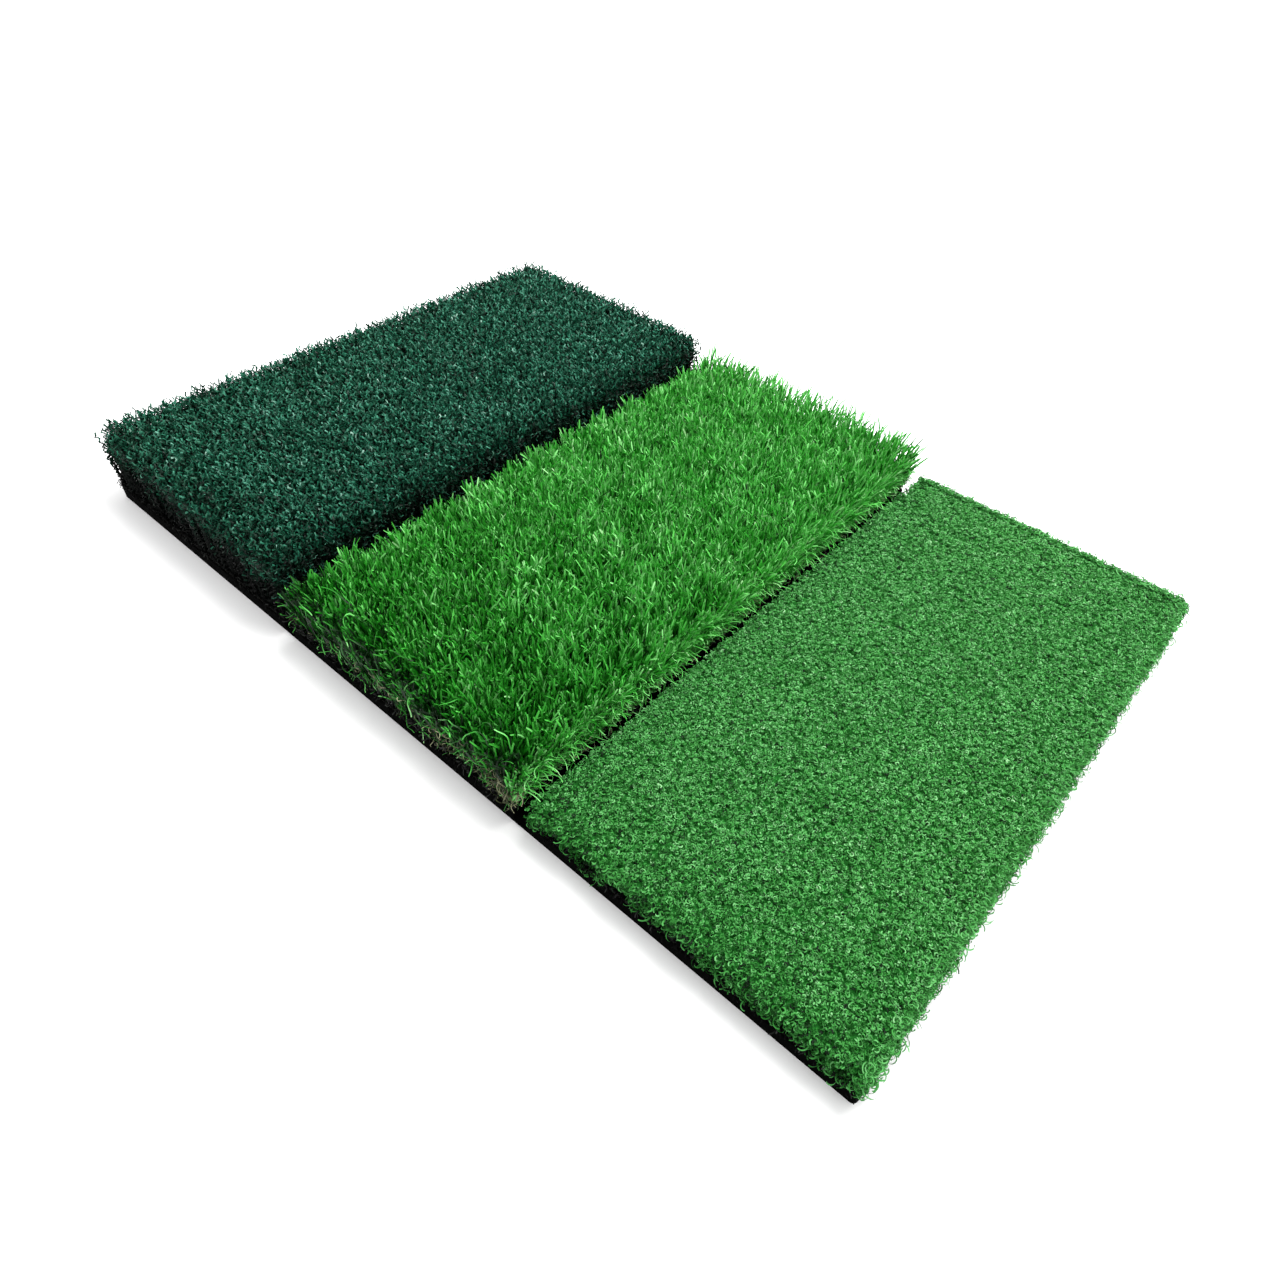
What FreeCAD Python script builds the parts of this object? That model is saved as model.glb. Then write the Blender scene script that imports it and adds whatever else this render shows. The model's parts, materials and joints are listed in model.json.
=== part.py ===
"""A folding golf hitting mat: three strips of turf, side by side, on one black rubber base.

Frame: +X runs along the mat from the tee turf to the fairway turf, +Y across it and +Z up.
The origin is the middle of the mat on the surface that it lies on. Sizes are in millimetres.

Each third of the mat is a laminate. From the floor up it is the rubber base, a film of glue, the
latex coat, the rows of back stitches that the latex locks, the woven cloth and the tufted pile.
The base is one sheet, thinned to a flexible web under each seam, and the outer thirds fold there.
"""

import FreeCAD, Part
import os
from Sketcher import Constraint

DRIVING_SIZES = {
    # the whole mat, 25 by 16 inches
    "mat_length": 635.0,
    "mat_width": 406.4,
    # the folding seams
    "seam_gap": 10.0,
    "web_thick": 2.0,
    # the layers under the pile
    "base_thick": 9.0,
    "glue_thick": 0.4,
    "latex_thick": 1.2,
    "cloth_thick": 0.4,
    "turf_inset": 1.0,
    # pile heights above the cloth, and the blades' height above the thatch
    "tee_height": 41.0,
    "thatch_height": 10.0,
    "blade_height": 25.0,
    "fairway_height": 14.0,
    # the soft shoulders of the piles
    "tee_round": 6.0,
    "blade_round": 4.0,
    "fairway_round": 2.5,
    # back stitches, in rows along the strips
    "stitch_width": 1.6,
    "stitch_height": 0.6,
    "stitch_margin": 4.0,
    "tee_rows": 42,
    "rough_rows": 21,
    "fairway_rows": 42,
    # grip grooves in the underside of the base
    "grip_grooves": 12,
    "grip_width": 4.0,
    "grip_depth": 0.8,
    "grip_margin": 16.0,
    # the outline of the rubber
    "corner_radius": 3.0,
    "edge_chamfer": 0.8,
}

# Lengths along X, as expressions on the sheet. The outer panels stop half a gap short of the seam
# and the middle one half a gap short of both, so the webs fill the gaps in the sheet.
PITCH = "sizes.mat_length / 3"
OUTER_PANEL = f"({PITCH} - sizes.seam_gap / 2)"
MIDDLE_PANEL = f"({PITCH} - sizes.seam_gap)"
OUTER_CENTRE = f"({PITCH} + sizes.seam_gap / 4)"
SEAM = f"({PITCH} / 2)"

# Heights of the layers above the floor, as expressions on the sheet.
GLUE_Z = "sizes.base_thick"
LATEX_Z = f"({GLUE_Z} + sizes.glue_thick)"
CLOTH_Z = f"({LATEX_Z} + sizes.latex_thick)"
STITCH_Z = f"({CLOTH_Z} - sizes.stitch_height)"
PILE_Z = f"({CLOTH_Z} + sizes.cloth_thick)"
BLADE_Z = f"({PILE_Z} + sizes.thatch_height)"

TURF_WIDTH = "(sizes.mat_width - 2 * sizes.turf_inset)"
STITCH_LENGTH = f"({TURF_WIDTH} - 2 * sizes.stitch_margin)"
GRIP_LENGTH = "(sizes.mat_width - 2 * sizes.grip_margin)"

TOLERANCE = 1e-4

# Half the side of the square that every sketch starts from, before its constraints size it.
START_SIZE = 10.0


def make_sheet(doc):
    """Write the driving sizes into the sheet, each with its name as alias."""
    sheet = doc.addObject("Spreadsheet::Sheet", "sizes")
    for row, (name, value) in enumerate(DRIVING_SIZES.items(), start=1):
        sheet.set(f"A{row}", name)
        sheet.set(f"B{row}", str(value))
        sheet.setAlias(f"B{row}", name)
    doc.recompute()
    return sheet


def make_body(doc, label, centre_x, bottom_z):
    """Add an empty body whose origin is the middle of the piece's underside."""
    body = doc.addObject("PartDesign::Body", label)
    body.Label = label
    body.AllowCompound = True
    body.setExpression("Placement.Base.x", centre_x)
    body.setExpression("Placement.Base.z", bottom_z)
    return body


def origin_plane(body, role):
    """Return the body's own origin feature with this role."""
    return next(item for item in body.Origin.OriginFeatures if item.Role == role)


def rectangle_sketch(body, name, width, length, lift="0", shift="0"):
    """Sketch a rectangle, width along X and length along Y, centred at X = shift, on Z = lift."""
    sketch = body.newObject("Sketcher::SketchObject", name)
    sketch.AttachmentSupport = [(origin_plane(body, "XY_Plane"), "")]
    sketch.MapMode = "FlatFace"
    sketch.setExpression("AttachmentOffset.Base.x", shift)
    sketch.setExpression("AttachmentOffset.Base.z", lift)
    corners = [(-1, -1), (1, -1), (1, 1), (-1, 1)]
    points = [FreeCAD.Vector(x, y, 0) * START_SIZE for x, y in corners]
    for start, end in zip(points, points[1:] + points[:1]):
        sketch.addGeometry(Part.LineSegment(start, end), False)
    bottom, right, top, left = range(4)
    first, second = 1, 2
    origin = -1
    for line, following in ((bottom, right), (right, top), (top, left), (left, bottom)):
        sketch.addConstraint(Constraint("Coincident", line, second, following, first))
    sketch.addConstraint(Constraint("Horizontal", bottom))
    sketch.addConstraint(Constraint("Horizontal", top))
    sketch.addConstraint(Constraint("Vertical", right))
    sketch.addConstraint(Constraint("Vertical", left))
    sketch.addConstraint(Constraint("Symmetric", bottom, first, top, first, origin, first))
    side = 2 * START_SIZE
    across = sketch.addConstraint(Constraint("DistanceX", bottom, first, bottom, second, side))
    along = sketch.addConstraint(Constraint("DistanceY", right, first, right, second, side))
    sketch.setExpression(f"Constraints[{across}]", width)
    sketch.setExpression(f"Constraints[{along}]", length)
    return sketch


def pad_rectangle(body, width, length, height):
    """Pad a centred rectangle up from the body's origin plane."""
    outline = rectangle_sketch(body, f"{body.Name}_outline", width, length)
    pad = body.newObject("PartDesign::Pad", f"{body.Name}_pad")
    pad.Profile = outline
    pad.setExpression("Length", height)
    body.Tip = pad
    return pad


def repeat_along_x(body, feature, span, count):
    """Repeat a feature that sits at the low end, count times in all, over this span."""
    pattern = body.newObject("PartDesign::LinearPattern", f"{feature.Name}_rows")
    pattern.Originals = [feature]
    pattern.Direction = (feature.Profile[0], ["H_Axis"])
    pattern.setExpression("Length", span)
    pattern.setExpression("Occurrences", count)
    body.Tip = pattern
    return pattern


def edge_names(shape, wanted):
    """Name the edges whose bounding box the test accepts."""
    return [f"Edge{i}" for i, edge in enumerate(shape.Edges, start=1) if wanted(edge.BoundBox)]


def is_upright(box):
    return box.ZLength > TOLERANCE and box.XLength < TOLERANCE and box.YLength < TOLERANCE


def is_upper_rim(box, height):
    return abs(box.ZMin - height) < TOLERANCE and abs(box.ZMax - height) < TOLERANCE


def lies_at_x(box, x):
    return abs(box.XMin - x) < TOLERANCE and abs(box.XMax - x) < TOLERANCE


def make_panel(doc, label, centre_x, width, outer_side):
    """Make one panel of the rubber sheet.

    outer_side is -1 or +1 for the panels at the two ends of the mat and 0 for the one between the
    seams. The outer corners are rounded, and the top rim is chamfered except along the seams.
    """
    body = make_body(doc, label, centre_x, "0")
    feature = pad_rectangle(body, width, "sizes.mat_width", "sizes.base_thick")
    doc.recompute()
    half_width = feature.Shape.BoundBox.XLength / 2
    if outer_side:
        end_x = outer_side * half_width
        corners = edge_names(feature.Shape, lambda box: is_upright(box) and lies_at_x(box, end_x))
        feature = round_edges(body, feature, corners, "sizes.corner_radius")
        doc.recompute()
        seams = [-end_x]
    else:
        seams = [-half_width, half_width]
    top_z = feature.Shape.BoundBox.ZMax
    rim = edge_names(
        feature.Shape,
        lambda box: is_upper_rim(box, top_z) and not any(lies_at_x(box, x) for x in seams),
    )
    chamfer = body.newObject("PartDesign::Chamfer", f"{label}_top_chamfer")
    chamfer.Base = (feature, rim)
    chamfer.setExpression("Size", "sizes.edge_chamfer")
    body.Tip = chamfer
    cut_grip_grooves(body, width)
    return body


def cut_grip_grooves(body, width):
    """Mould the rows of shallow grip grooves into the underside, with a plain margin all round."""
    span = f"({width} - 2 * sizes.grip_margin)"
    slot = rectangle_sketch(
        body, f"{body.Name}_grip_slot", "sizes.grip_width", GRIP_LENGTH, shift=f"-{span} / 2"
    )
    groove = body.newObject("PartDesign::Pocket", f"{body.Name}_grip")
    groove.Profile = slot
    groove.Reversed = True
    groove.setExpression("Length", "sizes.grip_depth")
    repeat_along_x(body, groove, span, "sizes.grip_grooves")


def round_edges(body, feature, edges, radius):
    """Round these edges of the feature and make the result the body's tip."""
    fillet = body.newObject("PartDesign::Fillet", f"{feature.Name}_round")
    fillet.Base = (feature, edges)
    fillet.setExpression("Radius", radius)
    body.Tip = fillet
    return fillet


def make_web(doc, label, seam_x):
    """Make the thin strip of the rubber sheet that bends when a panel folds."""
    body = make_body(doc, label, seam_x, "0")
    pad_rectangle(body, "sizes.seam_gap", "sizes.mat_width", "sizes.web_thick")
    return body


def make_layer(doc, label, centre_x, width, bottom_z, height):
    """Make one flat layer of a turf strip's backing."""
    body = make_body(doc, label, centre_x, bottom_z)
    pad_rectangle(body, width, TURF_WIDTH, height)
    return body


def make_latex_coat(doc, label, centre_x, width, rows):
    """Make the latex coat, with a channel in its top for each row of back stitches."""
    body = make_layer(doc, label, centre_x, width, LATEX_Z, "sizes.latex_thick")
    span = f"({width} - 2 * sizes.stitch_margin - sizes.stitch_width)"
    slot = rectangle_sketch(
        body,
        f"{label}_channel_outline",
        "sizes.stitch_width",
        STITCH_LENGTH,
        lift="sizes.latex_thick",
        shift=f"-{span} / 2",
    )
    channel = body.newObject("PartDesign::Pocket", f"{label}_channel")
    channel.Profile = slot
    channel.setExpression("Length", "sizes.stitch_height")
    repeat_along_x(body, channel, span, rows)
    return body


def make_back_stitches(doc, label, centre_x, width, rows):
    """Make the rows of yarn that cross the underside of the cloth, one bar for each row."""
    body = make_body(doc, label, centre_x, STITCH_Z)
    span = f"({width} - 2 * sizes.stitch_margin - sizes.stitch_width)"
    outline = rectangle_sketch(
        body, f"{label}_outline", "sizes.stitch_width", STITCH_LENGTH, shift=f"-{span} / 2"
    )
    bar = body.newObject("PartDesign::Pad", f"{label}_bar")
    bar.Profile = outline
    bar.setExpression("Length", "sizes.stitch_height")
    repeat_along_x(body, bar, span, rows)
    return body


def make_pile(doc, label, centre_x, width, bottom_z, height, shoulder=None):
    """Make a pile's envelope, with its shoulder rounded over where it is the top of the strip."""
    body = make_layer(doc, label, centre_x, width, bottom_z, height)
    if shoulder:
        doc.recompute()
        pad = body.Tip
        top_z = pad.Shape.BoundBox.ZMax
        edges = edge_names(pad.Shape, lambda box: is_upright(box) or is_upper_rim(box, top_z))
        round_edges(body, pad, edges, shoulder)
    return body


def make_strip(doc, name, centre_x, panel_width, rows):
    """Make the layers that hold one strip's pile: glue, latex coat, back stitches and cloth."""
    width = f"({panel_width} - 2 * sizes.turf_inset)"
    glue = make_layer(doc, f"{name}_glue_film", centre_x, width, GLUE_Z, "sizes.glue_thick")
    latex = make_latex_coat(doc, f"{name}_latex_coat", centre_x, width, rows)
    stitches = make_back_stitches(doc, f"{name}_back_stitches", centre_x, width, rows)
    cloth = make_layer(doc, f"{name}_woven_cloth", centre_x, width, CLOTH_Z, "sizes.cloth_thick")
    return [glue, latex, stitches, cloth]


def make_piles(doc):
    """Make the envelopes of the three turfs. The rough has blades standing out of a curly thatch."""
    outer = f"({OUTER_PANEL} - 2 * sizes.turf_inset)"
    middle = f"({MIDDLE_PANEL} - 2 * sizes.turf_inset)"
    tee_x = f"-{OUTER_CENTRE}"
    fairway_x = OUTER_CENTRE
    return [
        make_pile(doc, "tee_pile", tee_x, outer, PILE_Z, "sizes.tee_height", "sizes.tee_round"),
        make_pile(doc, "rough_thatch", "0", middle, PILE_Z, "sizes.thatch_height"),
        make_pile(doc, "rough_blades", "0", middle, BLADE_Z, "sizes.blade_height", "sizes.blade_round"),
        make_pile(
            doc, "fairway_pile", fairway_x, outer, PILE_Z, "sizes.fairway_height", "sizes.fairway_round"
        ),
    ]


def make_mat(doc):
    """Make every piece of the mat, and return their bodies."""
    make_sheet(doc)
    pieces = [
        make_panel(doc, "tee_base_panel", f"-{OUTER_CENTRE}", OUTER_PANEL, -1),
        make_panel(doc, "rough_base_panel", "0", MIDDLE_PANEL, 0),
        make_panel(doc, "fairway_base_panel", OUTER_CENTRE, OUTER_PANEL, 1),
        make_web(doc, "tee_fold_web", f"-{SEAM}"),
        make_web(doc, "fairway_fold_web", SEAM),
    ]
    pieces += make_strip(doc, "tee", f"-{OUTER_CENTRE}", OUTER_PANEL, "sizes.tee_rows")
    pieces += make_strip(doc, "rough", "0", MIDDLE_PANEL, "sizes.rough_rows")
    pieces += make_strip(doc, "fairway", OUTER_CENTRE, OUTER_PANEL, "sizes.fairway_rows")
    pieces += make_piles(doc)
    doc.recompute()
    return pieces


def check_document(doc, pieces):
    """Stop if a feature failed, a shape is null or invalid, or a cut or a pattern took no effect."""
    for item in doc.Objects:
        if "Invalid" in item.State or "Error" in item.State:
            raise RuntimeError(f"{item.Label} failed to recompute: {item.State}")
    for piece in pieces:
        if piece.Shape.isNull() or not piece.Shape.isValid():
            raise RuntimeError(f"{piece.Label} has no valid shape")
    volume = {piece.Label: piece.Shape.Volume for piece in pieces}
    for strip in ("tee", "rough", "fairway"):
        layer_volume = doc.getObject(f"{strip}_latex_coat_pad").Shape.Volume
        filled = volume[f"{strip}_latex_coat"] + volume[f"{strip}_back_stitches"]
        if abs(filled - layer_volume) > TOLERANCE * layer_volume:
            raise RuntimeError(f"the {strip} back stitches don't fill their channels")
        pattern = doc.getObject(f"{strip}_base_panel").Tip
        if pattern.Shape.Volume >= pattern.Originals[0].BaseFeature.Shape.Volume:
            raise RuntimeError(f"the {strip} base panel has no grip grooves")


def export_pieces(pieces):
    """Write one STEP file for each piece, named after it, and print its size."""
    os.makedirs("parts", exist_ok=True)
    for piece in pieces:
        piece.Shape.exportStep(f"parts/{piece.Label}.step")
        box = piece.Shape.BoundBox
        print(
            f"{piece.Label:24} {len(piece.Shape.Solids):3} solids  "
            f"x {box.XMin:8.2f} {box.XMax:8.2f}  y {box.YMin:8.2f} {box.YMax:8.2f}  "
            f"z {box.ZMin:6.2f} {box.ZMax:6.2f}"
        )


document = FreeCAD.newDocument("hitting_mat")
mat_pieces = make_mat(document)
check_document(document, mat_pieces)
export_pieces(mat_pieces)
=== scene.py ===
"""The looks of a folding golf hitting mat: three turf strips on one black rubber base.

Everything is in metres in the model's own frame: +X runs from the tee turf to the fairway turf,
+Y across the mat and +Z up. Each turf is tufted here fibre by fibre, in rows along Y.
"""

import json
import math

import bpy
import numpy as np
from mathutils import Matrix, Vector


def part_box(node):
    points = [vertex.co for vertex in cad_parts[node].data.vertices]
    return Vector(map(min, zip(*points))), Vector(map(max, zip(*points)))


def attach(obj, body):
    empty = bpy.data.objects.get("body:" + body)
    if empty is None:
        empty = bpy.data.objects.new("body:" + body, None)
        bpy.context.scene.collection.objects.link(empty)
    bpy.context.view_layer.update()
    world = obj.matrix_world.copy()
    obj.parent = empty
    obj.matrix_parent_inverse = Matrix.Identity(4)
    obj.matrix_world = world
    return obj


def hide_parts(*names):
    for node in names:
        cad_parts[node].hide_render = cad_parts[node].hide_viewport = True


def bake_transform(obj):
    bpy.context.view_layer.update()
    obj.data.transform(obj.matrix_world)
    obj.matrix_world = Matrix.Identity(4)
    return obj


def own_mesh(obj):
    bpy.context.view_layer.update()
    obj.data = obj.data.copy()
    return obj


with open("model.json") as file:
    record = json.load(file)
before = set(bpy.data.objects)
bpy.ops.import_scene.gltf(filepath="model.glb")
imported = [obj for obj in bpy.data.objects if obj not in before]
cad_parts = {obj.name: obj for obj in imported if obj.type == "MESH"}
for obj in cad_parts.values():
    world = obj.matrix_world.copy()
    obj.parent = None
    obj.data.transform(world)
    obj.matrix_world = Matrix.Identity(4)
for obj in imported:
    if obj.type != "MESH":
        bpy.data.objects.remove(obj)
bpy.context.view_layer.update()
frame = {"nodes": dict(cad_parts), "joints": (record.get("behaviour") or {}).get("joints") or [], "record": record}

MM = 0.001
UP = np.array([0.0, 0.0, 1.0])

# Each fibre has one shade, which is a column of the UV square, and runs up that column from its root
# to its tip. So a fibre's colour depends only on its UV, and the columns can be shared.
UV_LAYER = "OFBake"
SHADES = 32
COLUMN_FILL = 0.8
UV_MARGIN = 0.01

# Every point along a fibre has this many corners across it: its two edges, and a ridge between.
WIDE = 3

# A piece of turf with more faces than this is split into bands across the mat.
MAX_QUADS = 95_000


# --------------------------------------
# Turf strips


class Strip:
    """The room that one turf has: its corners, the cloth it stands on and the top of its pile.

    spread says how far its fibres may reach out over the low X, high X, low Y and high Y sides, and
    hang is the lowest height that its loose ends may come down to.
    """

    def __init__(self, body, lowest_node, highest_node, spread, hang):
        low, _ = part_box(lowest_node)
        _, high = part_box(highest_node)
        low_x, high_x, low_y, high_y = spread
        self.body = body
        self.low = np.array(low[:2])
        self.high = np.array(high[:2])
        self.cloth_z = low[2]
        self.top_z = high[2]
        self.reach_low = self.low - np.array([low_x, low_y]) * MM
        self.reach_high = self.high + np.array([high_x, high_y]) * MM
        self.hang = hang * MM
        self.folds = []


class Fold:
    """A seam, with the room that the turf over it needs between lying flat and its upper limit.

    side is 1 where that turf is at higher X than the seam, and -1 where it is at lower X.
    """

    def __init__(self, joint, strip, side):
        found = next(one for one in frame["joints"] if one["name"] == joint)
        edge = strip.reach_low[0] if side > 0 else strip.reach_high[0]
        room = 0.8 * MM
        loose_ends = 2.0 * MM
        self.side = side
        self.pivot = found["pos_m"][0]
        self.limit = math.radians(found["range_deg"][1])
        self.edge = side * (edge - self.pivot) - room
        self.top = strip.top_z + loose_ends

    def clear(self, paths):
        """Say which fibres stay clear of the turf over the seam, both flat and folded fully up."""
        ahead = self.side * (paths[:, :, 0] - self.pivot)
        rise = paths[:, :, 2]
        kept = np.ones(len(paths), dtype=bool)
        for angle in (0.0, self.limit):
            near = ahead * math.cos(angle) + rise * math.sin(angle)
            high = rise * math.cos(angle) - ahead * math.sin(angle)
            kept &= ((near < self.edge) | (high > self.top)).all(axis=1)
        return kept


TEE = Strip("tee_panel", "tee_pile", "tee_pile", (18.0, 0.8, 3.0, 16.5), 5.0)
ROUGH = Strip("rough_panel", "rough_thatch", "rough_blades", (8.0, 20.0, 5.5, 18.0), 9.0)
FAIRWAY = Strip("fairway_panel", "fairway_pile", "fairway_pile", (1.2, 2.5, 6.0, 11.0), 3.0)
# the loose yarn at its high X end reaches further out than the pile itself
FAIRWAY_END = Strip("fairway_panel", "fairway_pile", "fairway_pile", (1.2, 8.0, 6.0, 11.0), 3.0)
ROUGH.folds = [Fold("tee_fold", TEE, -1), Fold("fairway_fold", FAIRWAY, 1)]


def tufts(rng, strip, gauge, stitch, jitter):
    """Return the tufts' places in rows along Y: gauge is the rows' spacing, stitch that in a row."""
    size = strip.high - strip.low
    rows = max(2, round(size[0] / gauge))
    spots = max(2, round(size[1] / stitch))
    x = strip.low[0] + (np.arange(rows) + 0.5) * size[0] / rows
    y = strip.low[1] + (np.arange(spots) + 0.5) * size[1] / spots
    grid = np.stack(np.meshgrid(x, y, indexing="ij"), axis=-1).reshape(-1, 2)
    return grid + rng.normal(0.0, jitter, grid.shape)


def fan_out(rng, places, count, radius):
    """Return count fibre roots round each tuft, kept in the order of the tufts."""
    roots = np.repeat(places, count, axis=0)
    angle = rng.uniform(0, 2 * math.pi, len(roots))
    reach = radius * np.sqrt(rng.uniform(0, 1, len(roots)))
    return roots + reach[:, None] * np.stack([np.cos(angle), np.sin(angle)], axis=1)


def keep_inside(places, strip, margin):
    """Move the places that are past the strip's edge back inside it."""
    return np.clip(places, strip.low + margin, strip.high - margin)


def way_out(places, strip, reach, sides=(1.0, 1.0, 1.0, 1.0)):
    """Return a vector that points out over the nearest edges: as long as that side's factor on the
    edge, and falling to nothing at reach inside it. The sides are low X, high X, low Y and high Y."""
    low_x, high_x, low_y, high_y = sides
    near_low = np.clip(1 - (places - strip.low) / reach, 0, 1) ** 1.5
    near_high = np.clip(1 - (strip.high - places) / reach, 0, 1) ** 1.5
    out_x = high_x * near_high[:, 0] - low_x * near_low[:, 0]
    out_y = high_y * near_high[:, 1] - low_y * near_low[:, 1]
    return np.stack([out_x, out_y], axis=1)


def patches(rng, places, size, waves=7):
    """Return a smooth value about 0, with patches of about this size over the turf."""
    value = np.zeros(len(places))
    for _ in range(waves):
        angle = rng.uniform(0, 2 * math.pi)
        length = size * rng.uniform(0.7, 2.2)
        along = places @ np.array([math.cos(angle), math.sin(angle)])
        value += np.sin(2 * math.pi * along / length + rng.uniform(0, 2 * math.pi))
    return value / math.sqrt(waves / 2)


# --------------------------------------
# Fibres


def unit(vectors):
    """Return the vectors at length 1."""
    return vectors / np.maximum(np.linalg.norm(vectors, axis=-1, keepdims=True), 1e-9)


def grow(places, root_z, directions, lengths):
    """Return the fibres' centre lines: from each root, one equal step along each of its directions."""
    count, steps, _ = directions.shape
    step = (lengths / steps)[:, None, None] * unit(directions)
    root = np.column_stack([places, np.broadcast_to(root_z, count)])[:, None, :]
    return np.concatenate([root, root + np.cumsum(step, axis=1)], axis=1)


def grow_to(places, root_z, top_z, directions, shares):
    """Return the centre lines of fibres that stand on root_z and reach up to top_z. shares are the
    parts of its length that a fibre's steps take."""
    climb = np.cumsum(unit(directions) * shares[None, :, None], axis=1)
    least_rise = 0.35
    rise = np.maximum(climb[:, :, 2].max(axis=1), least_rise)
    size = (top_z - root_z) / rise
    root = np.column_stack([places, np.full(len(places), root_z)])[:, None, :]
    return np.concatenate([root, root + climb * size[:, None, None]], axis=1)


def top_at(paths, top_z):
    """Lift or lower each fibre so that its highest point is at top_z."""
    paths[:, :, 2] += (top_z - paths[:, :, 2].max(axis=1))[:, None]
    return paths


def fits(paths, strip):
    """Say which fibres stay inside their strip's reach, off the floor and clear of both folds."""
    low = (paths[:, :, :2] > strip.reach_low).all(axis=(1, 2))
    high = (paths[:, :, :2] < strip.reach_high).all(axis=(1, 2))
    kept = low & high & (paths[:, :, 2] > strip.hang).all(axis=1)
    for fold in strip.folds:
        kept &= fold.clear(paths)
    return kept


def headings(angles):
    """Return level directions for angles about Z."""
    return np.stack([np.cos(angles), np.sin(angles), np.zeros_like(angles)], axis=-1)


def level(vectors):
    """Return two-number vectors as level ones with three."""
    return np.concatenate([vectors, np.zeros((len(vectors), 1))], axis=1)


def winding(rng, count, steps, turns):
    """Return level directions that wind round as each fibre grows, turns times, either way."""
    along = (np.arange(steps) + 0.5) / steps
    way = rng.choice([-1.0, 1.0], count)
    start = rng.uniform(0, 2 * math.pi, count)
    return headings(2 * math.pi * (way * turns)[:, None] * along[None, :] + start[:, None])


def ribbons(paths, widths, across, cupping):
    """Sweep a shallow V along each fibre. across points over the fibre's flat side, widths holds one
    width for each point, and cupping is the V's depth over its width. Returns corners in (fibre,
    point, three across) order."""
    along = np.gradient(paths, axis=1)
    across = across if across.ndim == 3 else across[:, None, :]
    side = unit(across - unit(along) * np.sum(across * unit(along), axis=-1, keepdims=True))
    back = np.cross(unit(along), side)
    half = 0.5 * widths[..., None]
    ridge = paths - back * (2 * cupping * half)
    return np.stack([paths - side * half, ridge, paths + side * half], axis=2)


def turf_mesh(name, corners, shades, material, heights):
    """Make one mesh of fibres from their swept corners. Their UVs hold each fibre's shade, and how far
    along the fibre each point is, which heights gives from 0 to 1."""
    count, points, _, _ = corners.shape
    base = (np.arange(count) * points * WIDE)[:, None, None]
    ring = (np.arange(points - 1) * WIDE)[None, :, None]
    edge = np.arange(WIDE - 1)[None, None, :]
    first = base + ring + edge
    quads = np.stack([first, first + 1, first + WIDE + 1, first + WIDE], axis=-1).reshape(-1, 4)

    column = np.clip((shades * SHADES).astype(int), 0, SHADES - 1)
    over = (np.arange(WIDE) - 1) * 0.5 * COLUMN_FILL
    size = (count, points, WIDE)
    u = np.broadcast_to((column[:, None, None] + 0.5 + over) / SHADES, size)
    v = np.broadcast_to((UV_MARGIN + (1 - 2 * UV_MARGIN) * heights)[None, :, None], size)
    uv = np.stack([u, v], axis=-1).reshape(-1, 2)

    mesh = bpy.data.meshes.new(name)
    mesh.vertices.add(count * points * WIDE)
    mesh.vertices.foreach_set("co", corners.reshape(-1).astype(np.float32))
    mesh.loops.add(quads.size)
    mesh.loops.foreach_set("vertex_index", quads.reshape(-1).astype(np.int32))
    mesh.polygons.add(len(quads))
    mesh.polygons.foreach_set("loop_start", np.arange(0, quads.size, 4, dtype=np.int32))
    mesh.polygons.foreach_set("use_smooth", np.ones(len(quads), dtype=bool))
    mesh.uv_layers.new(name=UV_LAYER)
    loop_uv = uv[quads.reshape(-1)].reshape(-1).astype(np.float32)
    mesh.uv_layers[UV_LAYER].data.foreach_set("uv", loop_uv)
    mesh.update(calc_edges=True)
    mesh.materials.append(material)
    piece = bpy.data.objects.new(name, mesh)
    bpy.context.scene.collection.objects.link(piece)
    return piece


def place_turf(
    name, paths, widths, across, cupping, shades, material, strip, replaced, heights=None
):
    """Make the pieces for the fibres that fit, in bands across the mat, put them on the body and
    return them."""
    kept = fits(paths, strip)
    flat_side = across[kept]
    corners = ribbons(paths[kept], widths[kept], flat_side, cupping)
    shades = np.clip(shades[kept], 0, 0.999)
    points = corners.shape[1]
    heights = np.linspace(0, 1, points) if heights is None else heights
    quads = len(corners) * (points - 1) * (WIDE - 1)
    bands = math.ceil(quads / MAX_QUADS)
    root_y = corners[:, 0, 1, 1]
    order = np.argsort(root_y, kind="stable")
    pieces = []
    for number, chosen in enumerate(np.array_split(order, bands), start=1):
        label = f"{name}_{number}" if bands > 1 else name
        piece = turf_mesh(label, corners[chosen], shades[chosen], material, heights)
        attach(piece, strip.body)
        if replaced:
            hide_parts(*replaced)
        pieces.append(piece)
    return pieces


# --------------------------------------
# Materials


def colour(red, green, blue):
    """Return a screen colour, 0 to 255, as the linear colour that shaders take."""
    values = [c / 255 for c in (red, green, blue)]
    linear = [c / 12.92 if c <= 0.04045 else ((c + 0.055) / 1.055) ** 2.4 for c in values]
    return (*linear, 1.0)


def new_material(name):
    """Return a material with its node tree and its Principled shader."""
    material = bpy.data.materials.new(name)
    material.use_nodes = True
    shader = material.node_tree.nodes["Principled BSDF"]
    return material, material.node_tree, shader


def feed(tree, socket, value):
    """Link another node's socket to this one, or set a number or colour on it."""
    if isinstance(value, bpy.types.NodeSocket):
        tree.links.new(value, socket)
    else:
        socket.default_value = value


def math_node(tree, operation, *values):
    """Add a Math node, with each value a socket or a number, and return its result."""
    node = tree.nodes.new("ShaderNodeMath")
    node.operation = operation
    for socket, value in zip(node.inputs, values):
        feed(tree, socket, value)
    return node.outputs[0]


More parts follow.
